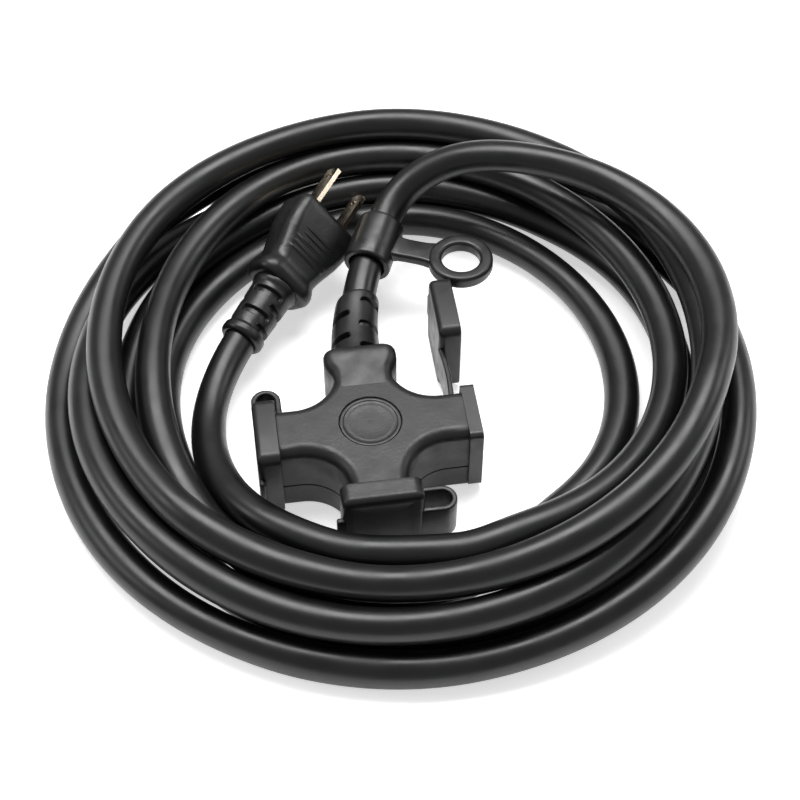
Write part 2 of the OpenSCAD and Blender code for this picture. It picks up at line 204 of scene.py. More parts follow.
def loft(rings, closed=False):
    """Quads between rings of equal length, with flat ends unless it closes on itself."""
    n, k = len(rings), len(rings[0])
    verts = [p for r in rings for p in r]
    faces = []
    for i in range(n if closed else n - 1):
        a, b = i * k, ((i + 1) % n) * k
        for j in range(k):
            j2 = (j + 1) % k
            faces.append((a + j, a + j2, b + j2, b + j))
    if not closed:
        faces.append(tuple(range(k)))
        faces.append(tuple(range((n - 1) * k, n * k)))
    return verts, faces


def merge(*parts):
    verts, faces = [], []
    for v, f in parts:
        o = len(verts)
        verts += list(v)
        faces += [tuple(i + o for i in q) for q in f]
    return verts, faces


def rrect(hw, hh, r, n=8):
    r = max(min(r, hw - 0.02, hh - 0.02), 0.02)
    pts = []
    for cx, cy, a0 in ((hw - r, hh - r, 0), (-(hw - r), hh - r, 90),
                       (-(hw - r), -(hh - r), 180), (hw - r, -(hh - r), 270)):
        for i in range(n + 1):
            a = math.radians(a0 + 90 * i / n)
            pts.append((cx + r * math.cos(a), cy + r * math.sin(a)))
    return pts


def rot(a, b, c):
    """The turn that rotate([a, b, c]) makes."""
    a, b, c = (math.radians(v) for v in (a, b, c))
    X = np.array([[1, 0, 0], [0, math.cos(a), -math.sin(a)], [0, math.sin(a), math.cos(a)]])
    Y = np.array([[math.cos(b), 0, math.sin(b)], [0, 1, 0], [-math.sin(b), 0, math.cos(b)]])
    Z = np.array([[math.cos(c), -math.sin(c), 0], [math.sin(c), math.cos(c), 0], [0, 0, 1]])
    return Z @ Y @ X


def smooth_line(p, n):
    """Catmull-Rom through the points, n steps each."""
    p = [np.array(q, float) for q in p]
    out = []
    for i in range(len(p) - 1):
        a, b, c, d = p[max(i - 1, 0)], p[i], p[i + 1], p[min(i + 2, len(p) - 1)]
        for k in range(n):
            t = k / n
            out.append(0.5 * (2 * b + (c - a) * t + (2 * a - 5 * b + 4 * c - d) * t * t
                              + (3 * b - a - 3 * c + d) * t ** 3))
    out.append(p[-1])
    return np.array(out)


def resample(p, step):
    s = np.concatenate([[0], np.cumsum(np.linalg.norm(np.diff(p, axis=0), axis=1))])
    n = max(2, int(round(s[-1] / step)) + 1)
    t = np.linspace(0, s[-1], n)
    return np.array([np.interp(t, s, p[:, k]) for k in range(3)]).T, s[-1]


# ---------------------------------------------------------------- cord
D = 10.5
CO = np.array([12.4, 26.8])          # middle of the coil
TURN = 8.0                           # the pass table's angles start here, clockwise from +Y

TAP_ROUTE = [
    (0, 31, 13), (0.1, 37, 13.05), (0.7, 44, 13.4), (2.1, 52, 14.3), (4.3, 60, 15.8),
    (7.2, 68, 17.7), (10.9, 76.1, 19), (14.3, 83.6, 20.2), (18.6, 90.5, 22.6),
    (25.2, 95.3, 26.4), (33.4, 97.2, 30.6), (42, 96.4, 34.2), (51, 93.6, 36.8),
    (60.5, 89.8, 38), (73, 83.8, 38.2), (85, 75, 38), (95, 63, 37.8),
    (102, 49, 37.6), (105.5, 34, 37.5), (105.5, 18, 37.4), (102, 3, 37.4),
    (96, -10, 37.4)]
PLUG_ROUTE = [
    (19, -44, 17.5), (3, -43, 18), (-12, -39.5, 17.5), (-25, -31.8, 17),
    (-35.9, -22, 15.6), (-43.2, -9.7, 12.8), (-47, 3, 9.8), (-47.8, 15, 7.6),
    (-46.4, 26, 7.2), (-42.6, 36, 8.8), (-37.6, 44, 10.9), (-32, 51.7, 12.3), (-27.2, 58.3, 13.5)]

# Passes of the coil: (angle in turns of 360, radius, height, how freely it may shift)
PASSES = [
    (90, 91.5, 37.4, 0), (106, 91.4, 37.4, 0), (135, 88, 31, .1), (180, 82, 20.5, .15),
    (225, 83, 20, .2), (270, 88.5, 24.5, .2), (292, 92.5, 26, .15), (315, 95.5, 27, .15),
    (360, 97, 27, .15),
    (405, 95.5, 27, .2), (450, 91.5, 26.6, .3), (495, 91.5, 21, .3), (540, 92, 15.5, .2),
    (585, 93, 16, .2), (630, 94.5, 16, .2), (652, 94, 13, .5), (675, 93, 8, .8), (720, 93.3, 5.3, .8),
    (765, 98.5, 10, .5), (810, 101, 16.2, .2), (855, 101, 9, .3), (900, 98, 5.3, .2),
    (945, 101, 5.3, .2), (990, 103.3, 5.3, .15), (1013, 103, 7.5, .3), (1035, 103, 14, .5),
    (1080, 101, 16.5, .6),
    (1125, 102, 9, .5), (1170, 103.3, 5.3, .15), (1215, 95, 5.3, .6), (1260, 87.3, 5.3, .8),
    (1305, 85, 6, .8), (1350, 83.5, 7.5, .5), (1395, 83, 9.5, .3), (1440, 84, 11.3, .2),
    (1485, 87, 8, .5), (1530, 86, 5.6, .8), (1575, 78, 6.5, .9), (1600, 71, 8.5, 1), (1620, 66.5, 6.5, 1),
    (1640, 66.2, 5.4, 1), (1665, 69, 5.3, .5), (1710, 72.6, 5.3, .3), (1755, 74.5, 5.3, .2), (1800, 76, 5.3, .15),
    (1845, 71, 5.3, .15), (1890, 68, 5.4, .12), (1935, 68.5, 5.3, .4), (1960, 74, 5.3, 1), (1980, 76.5, 5.6, 1),
    (2003, 77, 8, 1), (2025, 77, 14.5, .5), (2070, 74.2, 19.5, .15), (2100, 79, 19, .15), (2130, 87.5, 19, .15),
    (2160, 91, 19.3, .15),
    (2205, 85, 18.8, .15), (2250, 81.6, 18, .15), (2295, 75.5, 18.5, .15), (2310, 73, 18, .1),
    (2327, 71.1, 17.5, 0)]


def coil_points():
    step = 9.0
    first, last = 106.0, 2327.0
    pa = np.array([p[0] for p in PASSES], float)
    q = smooth_line([(p[0], p[1], p[2]) for p in PASSES], 24)
    order = np.argsort(q[:, 0])
    q = q[order]
    free = np.array([p[3] for p in PASSES], float)
    n = int((last - first) / step)
    ang = np.arange(0, last + step, step)
    ang = ang[(ang > first) & (ang < last)]
    r = np.interp(ang, q[:, 0], q[:, 1])
    z = np.interp(ang, q[:, 0], q[:, 2])
    w = np.interp(ang, pa, free)
    w = np.clip(w, 0.0, 1.0)
    # ends of the cord that are already placed, as obstacles at each station
    def polar(route):
        t = smooth_line(route, 12)
        d = t[:, :2] - CO
        a = (np.degrees(np.arctan2(d[:, 0], d[:, 1])) - TURN) % 360
        return a, np.hypot(d[:, 0], d[:, 1]), t[:, 2]
    la, lr, lz = polar(TAP_ROUTE)
    keep = la < 330
    la, lr, lz = la[keep], lr[keep], lz[keep]
    pa2, pr, pz = polar(PLUG_ROUTE)
    station = np.round((ang % 360) / step).astype(int)
    r0, z0 = r.copy(), z.copy()
    groups = [np.where(station == s)[0] for s in range(int(360 / step))]
    obstacles = {}
    for s in range(int(360 / step)):
        a = s * step
        obs = []
        if la.min() - 4 <= a <= la.max() + 2:
            m = np.where(lr > 55)[0]
            k = m[np.argmin(abs(la[m] - a))]
            if abs(la[k] - a) < 5:
                obs.append((lr[k], lz[k]))
        if pa2.min() - 2 <= a <= 300:
            k = np.argmin(abs(pa2 - a))
            if abs(pa2[k] - a) < 5:
                obs.append((pr[k], pz[k]))
        obstacles[s] = obs
    # the front cap and its strap stand inside the coil, and the cap swings out a little:
    # no strand may lie nearer than this
    walls = {}
    for s in range(int(360 / step)):
        phi = (s * step + TURN) % 360
        if 168 <= phi <= 208:
            reach = 36.1 + 2.1 * np.clip((phi - 184) / 18, 0, 1)
            walls[s] = (CO[1] + reach) / math.cos(math.radians(phi - 180))
    need = D + 0.12
    for it in range(420):
        dr, dz, cnt = np.zeros_like(r), np.zeros_like(z), np.zeros_like(r)
        for s, g in enumerate(groups):
            for ii in range(len(g)):
                i = g[ii]
                if s in walls and z[i] < 29 and r[i] < walls[s]:
                    dr[i] += walls[s] - r[i]; cnt[i] += 1
                for j in g[ii + 1:]:
                    x, y = r[i] - r[j], z[i] - z[j]
                    d = math.hypot(x, y)
                    if d < need:
                        if d < 0.1:
                            x, y, d = 0.1, 0.1, 0.14
                        wi, wj = w[i] + 0.02, w[j] + 0.02
                        push = (need - d) / d
                        dr[i] += x * push * wi / (wi + wj); dz[i] += y * push * wi / (wi + wj); cnt[i] += 1
                        dr[j] -= x * push * wj / (wi + wj); dz[j] -= y * push * wj / (wi + wj); cnt[j] += 1
                for (orr, oz) in obstacles[s]:
                    if i < 4 and ang[i] < 150 or ang[i] > 2300:
                        continue
                    x, y = r[i] - orr, z[i] - oz
                    d = math.hypot(x, y)
                    if d < need:
                        push = (need - d) / max(d, 0.1)
                        dr[i] += x * push; dz[i] += y * push; cnt[i] += 1
        k = 0.5
        m = cnt > 0
        r[m] += k * dr[m] / cnt[m]
        z[m] += k * dz[m] / cnt[m]
        z = np.maximum(z, D / 2 + 0.02)
        # stiffness of the cord, and a pull back to the place it was seen in
        if it < 400:
            for arr, base in ((r, r0), (z, z0)):
                lap = np.zeros_like(arr)
                lap[2:-2] = (-arr[:-4] + 4 * arr[1:-3] - 6 * arr[2:-2] + 4 * arr[3:-1] - arr[4:]) / 16
                arr += 0.35 * lap
                arr += 0.012 * (1 - w) * (base - arr)
        z = np.maximum(z, D / 2 + 0.02)
    a = np.radians(ang + TURN)
    return np.stack([CO[0] + r * np.sin(a), CO[1] + r * np.cos(a), z], axis=1)


coil = coil_points()
control = np.concatenate([smooth_line(TAP_ROUTE, 1), coil, smooth_line(PLUG_ROUTE, 1)])
line = smooth_line(list(control), 10)
line, cord_length = resample(line, 2.6)
for _ in range(3):
    line[1:-1] = 0.25 * line[:-2] + 0.5 * line[1:-1] + 0.25 * line[2:]


SLEEVE_C = np.array([10.9, 76.1, 19.0])
SLEEVE_A = rot(-82.5, 0, -24.5)[:, 2]


def ease_bends(p, rounds):
    """A stiff cord has no tight corners: where the line bends more than it can, it is eased.
    Its first stretch, which the hanger's sleeve holds, stays as laid."""
    p = p.copy()
    w = 4
    run = np.concatenate([[0], np.cumsum(np.linalg.norm(np.diff(p, axis=0), axis=1))])
    least = np.where(run < 125, 1.0, 44.0)[w:-w]
    for _ in range(rounds):
        A, B, C = p[:-2 * w], p[w:-w], p[2 * w:]
        la, lb, lc = (np.linalg.norm(x, axis=1) for x in (B - C, A - C, A - B))
        area2 = np.linalg.norm(np.cross(B - A, C - A), axis=1)
        rad = la * lb * lc / (2 * area2 + 1e-9)
        tight = np.zeros(len(p))
        tight[w:-w] = np.clip((least - rad) / least * 4, 0, 1)
        if tight.max() <= 0:
            break
        m = np.array([tight[max(0, i - 9):i + 10].max() for i in range(len(p))])
        m = np.convolve(m, np.ones(9) / 9, mode="same")
        m[:8] = 0
        m[run < 110] = 0
        m[-3:] = 0
        q = p.copy()
        q[3:-3] = (p[:-6] + 2 * p[1:-5] + 3 * p[2:-4] + 4 * p[3:-3] + 3 * p[4:-2] + 2 * p[5:-1] + p[6:]) / 16
        p = p + 0.8 * m[:, None] * (q - p)
        p[:, 2] = np.maximum(p[:, 2], D / 2 + 0.02)
    return p


line = ease_bends(line, 260)
line, cord_length = resample(line, 2.6)


def tube(path, radius, sides, ripple):
    t = np.gradient(path, axis=0)
    t /= np.linalg.norm(t, axis=1)[:, None]
    u = np.cross(t, [0, 0, 1.0])
    u /= np.linalg.norm(u, axis=1)[:, None]
    v = np.cross(u, t)
    s = np.concatenate([[0], np.cumsum(np.linalg.norm(np.diff(path, axis=0), axis=1))])
    th = np.arange(sides) * 2 * math.pi / sides
    # the two laid conductors show as a faint slow twist under the jacket
    rr = radius + ripple * np.cos(2 * (th[None, :] - s[:, None] * 2 * math.pi / 190)) \
        + 0.35 * ripple * np.sin(s[:, None] * 0.031 + 1.3)
    pts = path[:, None, :] + rr[..., None] * (np.cos(th)[None, :, None] * u[:, None, :]
                                             + np.sin(th)[None, :, None] * v[:, None, :])
    return [list(map(tuple, ring)) for ring in pts]


cord_v, cord_f = loft(tube(line, D / 2, 28, 0.13))
cord = make("cord", cord_v, cord_f, M_CORD, sharp=None)
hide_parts("tap_lead", "cord_coil", "plug_lead")


# ---------------------------------------------------------------- tap
HW, FR, BACK = 8.5, 13.0, 28.0


def tap_outline(side, front):
    g = 0.0
    h = HW - g
    c, r = HW + FR, FR + g
    pts = [(side, -h), (side, h)]
    for i in range(15):
        a = math.radians(-90 - 76 * i / 14)
        pts.append((c + r * math.cos(a), c + r * math.sin(a)))
    pts += [(9.15 - g, 19.2), (9.7 - g, 20.4), (10.4 - g, 21.6), (10.5 - g, 22.8), (10.5 - g, BACK - g),
            (-10.5 + g, BACK - g), (-10.5 + g, 22.8), (-10.4 + g, 21.6), (-9.7 + g, 20.4), (-9.15 + g, 19.2)]
    for i in range(15):
        a = math.radians(-14 - 76 * i / 14)
        pts.append((-c + r * math.cos(a), c + r * math.sin(a)))
    pts += [(-side, h), (-side, -h)]
    for i in range(19):
        a = math.radians(90 - 90 * i / 18)
        pts.append((-c + r * math.cos(a), -c + r * math.sin(a)))
    pts += [(-h, -front), (h, -front)]
    for i in range(19):
        a = math.radians(180 - 90 * i / 18)
        pts.append((c + r * math.cos(a), -c + r * math.sin(a)))
    out = []
    for p in pts:
        if not out or math.hypot(p[0] - out[-1][0], p[1] - out[-1][1]) > 0.05:
            out.append(p)
    return out


def prism(name, outline, z0, z1, top, bottom, mat):
    me = bpy.data.meshes.new(name)
    bm = bmesh.new()
    vs = [bm.verts.new((x * MM, y * MM, z0 * MM)) for x, y in outline]
    f = bm.faces.new(vs)
    ext = bmesh.ops.extrude_face_region(bm, geom=[f])
    up = [v for v in ext["geom"] if isinstance(v, bmesh.types.BMVert)]
    for v in up:
        v.co.z = z1 * MM
    bmesh.ops.recalc_face_normals(bm, faces=bm.faces)
    bm.edges.ensure_lookup_table()
    for zz, width, seg in ((z1, top, 7), (z0, bottom, 3)):
        if width:
            es = [e for e in bm.edges if all(abs(v.co.z - zz * MM) < 1e-7 for v in e.verts)]
            bmesh.ops.bevel(bm, geom=es, offset=width * MM, segments=seg, profile=0.5,
                            affect="EDGES", clamp_overlap=False)
    bmesh.ops.remove_doubles(bm, verts=bm.verts, dist=1e-6)
    bm.to_mesh(me)
    bm.free()
    o = bpy.data.objects.new(name, me)
    scene.collection.objects.link(o)
    me.materials.append(mat)
    return o


def apply_all(o):
    dg = bpy.context.evaluated_depsgraph_get()
    me = bpy.data.meshes.new_from_object(o.evaluated_get(dg))
    o.modifiers.clear()
    o.data = me
    return o


def shade(o, angle=34):
    for p in o.data.polygons:
        p.use_smooth = True
    o.data.set_sharp_from_angle(angle=math.radians(angle))
    w = o.modifiers.new("wn", "WEIGHTED_NORMAL")
    w.keep_sharp = True
    w.weight = 60


SPLIT = 9.0
upper = prism("tap_upper_casing", tap_outline(31, 27), SPLIT + 0.08, 24.5, 3.5, 0.35, M_TAP)
lower = prism("tap_lower_casing", tap_outline(27.7, 23.7), 0.0, SPLIT - 0.08, 0.35, 1.2, M_TAP)


def cutter(verts_faces):
    v, f = verts_faces
    me = bpy.data.meshes.new("cut")
    me.from_pydata([tuple(float(c) * MM for c in p) for p in v], [], f)
    bm = bmesh.new()
    bm.from_mesh(me)
    bmesh.ops.recalc_face_normals(bm, faces=bm.faces)
    bm.to_mesh(me)
    bm.free()
    o = bpy.data.objects.new("cut", me)
    scene.collection.objects.link(o)
    return o


def carve(o, cut):
    b = o.modifiers.new("b", "BOOLEAN")
    b.operation = "DIFFERENCE"
    b.solver = "EXACT"
    b.object = cut
    apply_all(o)
    bpy.data.objects.remove(cut)


def circle(cx, cy, z, r, n=72):
    return [(cx + r * math.cos(2 * math.pi * i / n), cy + r * math.sin(2 * math.pi * i / n), z) for i in range(n)]


# seat of the centre disc, with a rounded lip, and the room inside for the outlets
carve(upper, cutter(loft([circle(0, 0, 23.3, 9.0), circle(0, 0, 24.15, 9.0), circle(0, 0, 24.35, 9.08),
                          circle(0, 0, 24.46, 9.22), circle(0, 0, 24.6, 9.6)])))


def inner_plan(z):
    h = HW - 2.4
    c, r = HW + FR, FR + 2.4
    pts = [(40, -h), (40, h)]
    pts += [(c + r * math.cos(math.radians(-90 - 90 * i / 8)), c + r * math.sin(math.radians(-90 - 90 * i / 8))) for i in range(9)]
    pts += [(h, 23), (-h, 23)]
    pts += [(-c + r * math.cos(math.radians(-90 * i / 8)), c + r * math.sin(math.radians(-90 * i / 8))) for i in range(9)]
    pts += [(-40, h), (-40, -h)]
    pts += [(-c + r * math.cos(math.radians(90 - 90 * i / 8)), -c + r * math.sin(math.radians(90 - 90 * i / 8))) for i in range(9)]
    pts += [(-h, -40), (h, -40)]
    pts += [(c + r * math.cos(math.radians(180 - 90 * i / 8)), -c + r * math.sin(math.radians(180 - 90 * i / 8))) for i in range(9)]
    return [(x, y, z) for x, y in pts]


carve(upper, cutter(loft([inner_plan(0), inner_plan(22.2)])))
carve(lower, cutter(loft([inner_plan(2.4), inner_plan(20)])))
for o, nodes in ((upper, ("tap_upper_shell",)), (lower, ("tap_lower_shell",))):
    shade(o)
    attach(o, "root")
    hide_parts(*nodes)


def collar_mesh():
    """The tap's thick rounded end round the cord, which stands a little above the arms."""
    rows = []
    prof = [(10.5, 3.0, 1.0), (12.0, 2.3, 1.3), (13.5, 1.9, 1.6), (15.0, 1.55, 1.85), (16.3, 1.25, 1.97), (17.5, 0.98, 2.05), (18.7, 0.72, 2.0),
            (19.8, 0.48, 1.6), (20.8, 0.24, 1.05), (21.8, 0.02, 0.5), (22.8, -0.2, 0.15), (23.8, -0.38, 0.0), (25.0, -0.5, 0.0),
            (26.2, -0.48, 0.06), (27.1, -0.2, 0.32), (27.8, 0.35, 0.8), (28.25, 1.1, 1.5), (28.45, 2.1, 2.4), (28.5, 3.4, 3.6)]
    for y, ez, ex in prof:
        top, bot = 26.3 - ez, 9.2
        zc, hh = (top + bot) / 2, (top - bot) / 2
        pts = []
        for x, z in rrect(10.9 - ex, hh, 3.3, 8):
            if z < 0 and abs(x) > 10.9 - ex - 3.4:
                x = math.copysign(10.9 - ex, x)
            pts.append((x, y, zc + z))
        rows.append(pts)
    return loft(rows)


def revolve(prof, o, axis, n=72, closed=True, side=(0, 0, 1)):
    """Rings of a profile of (distance along the axis, radius)."""
    o, a = np.array(o, float), np.array(axis, float)
    a /= np.linalg.norm(a)
    u = np.cross(a, side)
    if np.linalg.norm(u) < 1e-6:
        u = np.cross(a, (0, 1, 0))
    u /= np.linalg.norm(u)
    v = np.cross(a, u)
    rings = []
    for s, r in prof:
        rings.append([tuple(o + a * s + r * (math.cos(t) * u + math.sin(t) * v))
                      for t in np.arange(n) * 2 * math.pi / n])
    return loft(rings, closed=closed)


v, f = collar_mesh()
collar = make("tap_collar", v, f, M_TAP, sharp=60)
# centre disc: a shallow dish with a raised rim and a flat middle
disc_prof = [(0.02, 0.6), (0.02, 8.7), (0.1, 8.88), (0.75, 8.88), (0.92, 8.8), (0.98, 8.62), (0.98, 8.2), (0.92, 8.0),
             (0.72, 7.85), (0.62, 7.6), (0.58, 6.9), (0.60, 6.6), (0.60, 6.3), (0.56, 6.0), (0.55, 3.2), (0.55, 0.6)]
dv, df = revolve(disc_prof, (0, 0, 23.3), (0, 0, 1), 96)
dv2, df2 = revolve([(0.02, 0.02), (0.02, 0.7), (0.55, 0.7), (0.55, 0.02)], (0, 0, 23.3), (0, 0, 1), 48, closed=False)
v, f = merge((dv, df), (dv2, df2))
disc = make("centre_disc", v, f, M_DISC, sharp=30)
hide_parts("tap_centre_disc")


# ---------------------------------------------------------------- caps and straps
def place(side):
    if side == "right":
        return lambda X, L, Z: (X, L, Z), 31.5
    if side == "left":
        return lambda X, L, Z: (-X, L, Z), 31.5
    return lambda X, L, Z: (L, -X, Z), 27.5


def cap_mesh(side, folded):
    at, face = place(side)
    zc = 13.2
    rings = []

    def ring(dx, inset, corner=3.0):
        pts = rrect(11.7 - inset, 13.0 - inset, max(corner - inset, 0.35), 8)
        out = []
        for L, z in pts:
            X, Z = face + dx, z + zc
            if dx < -3.5 and Z < 2.2 and abs(L) < 9.9:
                X = face - 3.5
            if folded:
                X, L = 2 * (face - 2.35) - X, 41.2 - L
            out.append(at(X, L, Z))
        return out
    # outer face, slightly dished in its middle, with a rounded edge
    rings.append(ring(1.82, 6.5))
    rings.append(ring(1.84, 4.2))
    rings.append(ring(2.02, 3.4))
    rings.append(ring(2.1, 2.8))
    rings.append(ring(2.1, 1.8))
    for k in range(1, 9):
        t = math.radians(90 * k / 8)
        rings.append(ring(2.1 - 1.8 * (1 - math.cos(t)), 1.8 * (1 - math.sin(t))))
    for dx in (0.15, -1.0, -2.2, -3.3, -3.45, -4.1):
        rings.append(ring(dx, 0))
    # a small bead round the rim
    rings.append(ring(-4.45, 0.05))
    rings.append(ring(-4.65, 0.25))
    rings.append(ring(-4.7, 0.5))
    rings.append(ring(-4.6, 0.78))
    rings.append(ring(-4.4, 0.9))
    for dx in (-3.45, -3.3, -1.0, 0.1):
        rings.append(ring(dx, 0.9))
    rings.append(ring(0.3, 1.05))
    rings.append(ring(0.3, 1.6))
    rings.append(ring(0.3, 3.5))
    # sealing lip inside
    rings.append(ring(0.1, 3.7))
    rings.append(ring(0.1, 4.4))
    rings.append(ring(0.3, 4.6))
    v, f = loft(rings)
    # pull tab at the far edge
    tab = []
    for s, e in ((-13.3, 0.5), (-13.2, 0.22), (-12.9, 0.05), (-12.3, 0.0), (-11.6, 0.0), (-10.9, 0.0)):
        out = []
        for a, b in rrect(0.95 - e, 4.2 - e, 0.6, 4):
            X, Z = face + 1.05 + a, 13 + b
            L = s
            if folded:
                X, L = 2 * (face - 2.35) - X, 41.2 - L
            out.append(at(X, L, Z))
        tab.append(out)
    return merge((v, f), loft(tab))


def band_mesh(side, path, widths):
    """Ribbon standing on edge along a path in plan, 13 mm high."""
    at, face = place(side)
    p = smooth_line([(x, l, 0) for x, l in path], 8)
    t = np.gradient(p, axis=0)
    t /= np.linalg.norm(t, axis=1)[:, None]
    nrm = np.stack([-t[:, 1], t[:, 0], 0 * t[:, 0]], axis=1)
    k = np.linspace(0, 1, len(p))
    wt = np.interp(k, [w[0] for w in widths], [w[1] for w in widths])
    wh = np.interp(k, [w[0] for w in widths], [w[2] for w in widths])
    rings = []
    for i in range(len(p)):
        out = []
        for a, b in rrect(wt[i] / 2, wh[i] / 2, 0.55, 5):
            q = p[i] + nrm[i] * a
            out.append(at(q[0], q[1], 11.5 + b))
        rings.append(out)
    return loft(rings)


for side, body in (("right", "cap_right"), ("left", "cap_left"), ("front", "cap_front")):
    at, face = place(side)
    v, f = cap_mesh(side, side == "right")
    cap = make("rubber_cap_" + side, v, f, M_CAP, body=body, sharp=32)
    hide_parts("cap_" + side)
    if side == "right":
        path = [(face - 5.9, 7.2), (face - 5.9, 9.5), (face - 5.85, 12), (face - 5.7, 15), (face - 5.55, 18),
                (face - 5.5, 20.6), (face - 5.55, 23.2), (face - 5.7, 26), (face - 5.85, 28.5), (face - 5.9, 30.6)]
        widths = [(0, 3.6, 13.8), (0.08, 2.3, 13.2), (0.16, 1.75, 13), (0.45, 1.55, 13), (0.55, 1.55, 13),
                  (0.88, 1.75, 13), (1, 2.2, 13.2)]
    else:
        c = (face - 2.35, 17.05)
        path = [(face - 5.9, 7.2), (face - 5.9, 9.5), (face - 5.9, 12.5), (face - 5.9, 15.2)]
        path += [(c[0] + 3.55 * math.cos(math.radians(a)), c[1] + 3.55 * math.sin(math.radians(a)))
                 for a in (170, 150, 128, 108, 90, 72, 52, 30, 10)]
        path += [(face + 1.15, 14.8), (face + 1.1, 12.8), (face + 1.0, 10.9)]
        widths = [(0, 3.4, 13.8), (0.08, 2.2, 13.2), (0.16, 1.7, 13), (0.5, 1.55, 13), (0.9, 1.7, 13), (1, 1.9, 13)]
    v, f = band_mesh(side, path, widths)
    band = make("cap_strap_" + side, v, f, M_STRAP, body=None, sharp=32)
    if side == "right":
        s, e = at(face - 4, 14.8, 11.5), at(face - 4, 26.4, 11.5)
    else:
        s, e = at(face - 4.4, 19, 11.5), at(face - 0.3, 19, 11.5)
    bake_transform(band)
    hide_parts("strap_root_" + side, "strap_end_" + side)


# ---------------------------------------------------------------- strain reliefs
def relief_mesh(o, axis, prof, bore, slots, n=240, side=(0, 0, 1), bend=None):
    """A flexible sleeve. slots are (distance, angle in degrees, half length in degrees, half width, depth)."""
    o, a = np.array(o, float), np.array(axis, float)
    a /= np.linalg.norm(a)
    u = np.cross(a, side)
    u /= np.linalg.norm(u)
    v = np.cross(u, a)
    length = prof[-1][0]
    ss = np.arange(0, length + 0.001, 0.18)
    rr = np.interp(ss, [p[0] for p in prof], [p[1] for p in prof])
    for _ in range(2):
        rr[1:-1] = 0.25 * rr[:-2] + 0.5 * rr[1:-1] + 0.25 * rr[2:]
    th = np.arange(n) * 2 * math.pi / n
    R = np.repeat(rr[:, None], n, axis=1)
    for sd, ang, half, hwid, depth in slots:
        dth = (np.degrees(th) - ang + 180) % 360 - 180
        rad = np.interp(sd, ss, rr)
        along = np.maximum(np.abs(dth) - half, 0) * math.pi / 180 * rad
        d = np.sqrt((ss[:, None] - sd) ** 2 + along[None, :] ** 2)
        k = np.clip((hwid + 0.2 - d) / 0.5, 0, 1)
        R = np.minimum(R, rr[:, None] - depth * k * k * (3 - 2 * k))
    def off(s):
        # sideways set of the sleeve's middle, where the lead bends it
        return np.zeros(3) if not bend else np.array(bend) * (max(0.0, s - 6.0) ** 2)
    rings = []
    prof_pts = [(0.25, np.full(n, bore))] + [(ss[i], R[i]) for i in range(len(ss))] + \
               [(length + 0.15, np.full(n, rr[-1] - 0.3)), (length + 0.22, np.full(n, rr[-1] - 0.7)),
                (length + 0.1, np.full(n, bore + 0.05)), (length - 1.2, np.full(n, bore))]
    for s, r in prof_pts:
        P = o + off(s) + a * s + r[:, None] * (np.cos(th)[:, None] * u + np.sin(th)[:, None] * v)
        rings.append(list(map(tuple, P)))
    return loft(rings, closed=True)


tap_slots = []
for i in range(5):
    s = 5.4 + 4.5 * i
    base = 38 if i % 2 == 0 else 142
    for k in (0, 180):
        tap_slots.append((s, base + k, 35 - 1.5 * i, 1.05, 2.0))
v, f = relief_mesh((0, 28, 13), (0, 1, 0),
                   [(-0.4, 9.0), (0, 8.8), (0.8, 8.3), (2.2, 7.95), (3.5, 7.8), (10, 7.5), (20, 7.1), (25.8, 6.9), (26.9, 6.8),
                    (27.5, 6.5), (27.8, 6.1)], 5.35, tap_slots, bend=(0.0064, 0, 0.0040))
relief = make("tap_relief", v, f, M_RELIEF, sharp=50)
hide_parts("tap_strain_relief")

PA = np.array([-4.1, 90.1, 19.0])
PR = rot(49, -8, 54)
plug_at = lambda x, y, z: tuple(PA + PR @ np.array([x, y, z], float))
px, py, pz = PR[:, 0], PR[:, 1], PR[:, 2]
plug_slots = []
for i in range(4):
    s = 5.0 + 4.1 * i
    base = 55 if i % 2 == 0 else 125
    for k in (0, 180):
        plug_slots.append((s, base + k, 38, 1.1, 1.45))
v, f = relief_mesh(plug_at(-31, 0, 0), -px,
                   [(-0.4, 7.7), (0.3, 7.75), (1.2, 7.55), (1.9, 7.1), (2.6, 6.95), (10, 6.7), (17.2, 6.45),
                    (18.2, 6.5), (19.0, 7.0), (20.8, 7.05), (21.4, 6.7), (21.8, 6.3)], 5.3, plug_slots, side=tuple(pz))
prelief = make("plug_relief", v, f, M_RELIEF, sharp=50)
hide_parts("plug_strain_relief")

